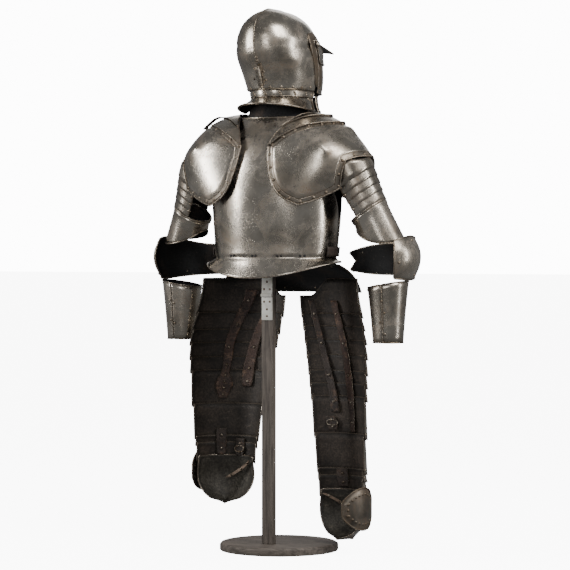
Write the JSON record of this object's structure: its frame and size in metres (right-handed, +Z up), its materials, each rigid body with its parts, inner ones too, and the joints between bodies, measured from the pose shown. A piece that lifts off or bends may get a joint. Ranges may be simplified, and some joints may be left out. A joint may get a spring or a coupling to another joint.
{
  "type": "suit of plate armour on a display stand",
  "caption": "Three-quarter suit of plate armour: closed helmet, back and breast, shoulder and arm defences and long thigh plates to the knee, standing on a wooden post with a round foot.",
  "frame": {"origin": "centre of the round foot's underside, on the floor below the body's axis", "axes": "+Z up, -Y the way the wearer faces, +X the wearer's left"},
  "size_m": [0.749, 0.347, 1.361],
  "materials": {
    "steel": "aged polish with brown stains",
    "blackened_steel": "dull black inside face",
    "leather": "old, dry and dark",
    "brass": "dull rivet heads",
    "wood": "weathered lath",
    "painted_iron": "worn white paint"
  },
  "bodies": {
    "armour": {"skull_left": "steel", "skull_right": "steel", "neck_lame_upper": "steel", "neck_lame_lower": "steel", "neck_plate_front": "steel", "plume_holder": "steel", "pivot_left": "steel", "pivot_right": "steel", "backplate": "steel", "breastplate": "steel", "collar": "blackened_steel", "fauld": "steel", "stand_base": "wood", "stand_post": "wood", "stand_board": "wood", "stand_head": "wood", "hinge_leaf_upper": "painted_iron", "hinge_leaf_lower": "painted_iron", "side_strap_left": "leather", "shoulder_strap_left": "leather", "pauldron_lame_1_left": "steel", "pauldron_lame_2_left": "steel", "pauldron_main_left": "steel", "arm_lame_1_left": "steel", "arm_lame_2_left": "steel", "arm_lame_3_left": "steel", "arm_lame_4_left": "steel", "arm_lame_5_left": "steel", "upper_cannon_left": "steel", "tasset_upper_left": "steel", "tasset_lower_left": "steel", "poleyn_left": "steel", "poleyn_wing_left": "steel", "thigh_leather_left": "leather", "side_strap_right": "leather", "shoulder_strap_right": "leather", "pauldron_lame_1_right": "steel", "pauldron_lame_2_right": "steel", "pauldron_main_right": "steel", "arm_lame_1_right": "steel", "arm_lame_2_right": "steel", "arm_lame_3_right": "steel", "arm_lame_4_right": "steel", "arm_lame_5_right": "steel", "upper_cannon_right": "steel", "tasset_upper_right": "steel", "tasset_lower_right": "steel", "poleyn_right": "steel", "poleyn_wing_right": "steel", "thigh_leather_right": "leather"},
    "bevor": {"bevor": "steel"},
    "visor": {"visor": "steel", "peak": "steel"},
    "elbow_left": {"couter_left": "steel"},
    "forearm_left": {"lower_cannon_outer_left": "steel", "lower_cannon_inner_left": "steel"},
    "elbow_right": {"couter_right": "steel"},
    "forearm_right": {"lower_cannon_outer_right": "steel", "lower_cannon_inner_right": "steel"}
  },
  "joints": [
    {"name": "bevor_pivot", "type": "hinge", "parent": "armour", "child": "bevor", "pos_m": [0, 0, 1.272], "axis": [-1, 0, 0], "range_deg": [0, 40]},
    {"name": "visor_pivot", "type": "hinge", "parent": "bevor", "child": "visor", "pos_m": [0, 0, 1.272], "axis": [-1, 0, 0], "range_deg": [0, 40]},
    {"name": "elbow_left_bend", "type": "hinge", "parent": "armour", "child": "elbow_left", "pos_m": [0.3, -0.025, 0.742], "axis": [-0.8189, 0.5739, 0], "range_deg": [0, 30]},
    {"name": "forearm_left_bend", "type": "hinge", "parent": "elbow_left", "child": "forearm_left", "pos_m": [0.3, -0.025, 0.742], "axis": [-0.8189, 0.5739, 0], "range_deg": [0, 30]},
    {"name": "elbow_right_bend", "type": "hinge", "parent": "armour", "child": "elbow_right", "pos_m": [-0.3, -0.025, 0.742], "axis": [-0.8189, -0.5739, 0], "range_deg": [0, 30]},
    {"name": "forearm_right_bend", "type": "hinge", "parent": "elbow_right", "child": "forearm_right", "pos_m": [-0.3, -0.025, 0.742], "axis": [-0.8189, -0.5739, 0], "range_deg": [0, 30]}
  ],
  "couplings": [
    {"joint": "forearm_left_bend", "follows": "elbow_left_bend", "ratio": 1},
    {"joint": "forearm_right_bend", "follows": "elbow_right_bend", "ratio": 1}
  ]
}
